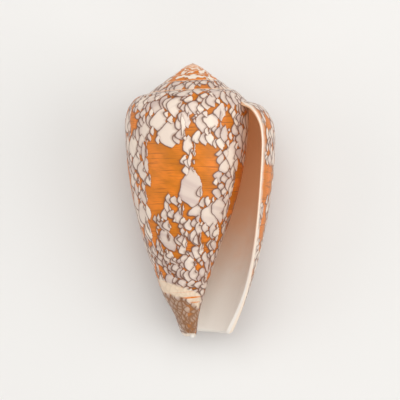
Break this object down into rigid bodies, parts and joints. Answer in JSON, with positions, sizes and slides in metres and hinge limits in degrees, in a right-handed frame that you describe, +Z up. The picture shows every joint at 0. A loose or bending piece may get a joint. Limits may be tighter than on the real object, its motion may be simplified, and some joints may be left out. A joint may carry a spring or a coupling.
{
  "type": "cone shell",
  "caption": "Cone shell lying on its back: low conical spire, long narrow aperture, and a glossy orange surface covered in white tent-shaped marks.",
  "frame": {"origin": "on the ground, under the middle of the shell's bounding box", "axes": "+Y from the siphon end towards the apex, +Z up, out of the aperture side, +X towards the outer lip"},
  "size_m": [0.0326, 0.0592, 0.0301],
  "materials": {
    "shell": "gloss"
  },
  "bodies": {
    "root": {"shell": "shell"}
  },
  "joints": []
}
